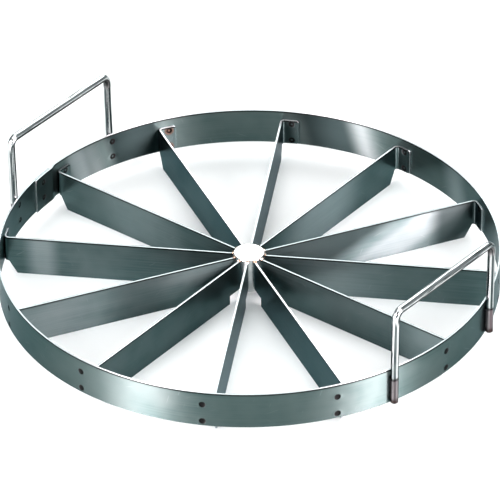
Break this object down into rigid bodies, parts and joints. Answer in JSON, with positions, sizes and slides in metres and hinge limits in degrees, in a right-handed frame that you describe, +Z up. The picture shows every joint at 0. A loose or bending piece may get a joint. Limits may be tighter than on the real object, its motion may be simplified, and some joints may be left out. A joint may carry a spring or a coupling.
{
  "type": "cake portion marker",
  "caption": "Round stainless cake portion marker: a shallow band with radial blades meeting at a central hub, and two upright rod handles.",
  "frame": {"origin": "centre of the marker, on the plane of the blades' lower edges on which it rests", "axes": "+Z up along the marker's axis, +X along blade_01 and, within two degrees, through the middle of the front handle"},
  "size_m": [0.26, 0.26, 0.0643],
  "materials": {
    "band_steel": "bright rolled strip with a fine grain along its length",
    "blade_steel": "bright rolled sheet with a fine grain from hub to band",
    "hub_steel": "faced and turned",
    "rod_steel": "polished drawn rod",
    "weld_steel": "rippled weld bead with a heat tint"
  },
  "bodies": {
    "root": {"band": "band_steel", "hub": "hub_steel", "hub_welds": "weld_steel", "blade_01": "blade_steel", "blade_02": "blade_steel", "blade_03": "blade_steel", "blade_04": "blade_steel", "blade_05": "blade_steel", "blade_06": "blade_steel", "blade_07": "blade_steel", "blade_08": "blade_steel", "blade_09": "blade_steel", "blade_10": "blade_steel", "blade_11": "blade_steel", "blade_12": "blade_steel", "handle_front": "rod_steel", "handle_back": "rod_steel"}
  },
  "joints": []
}
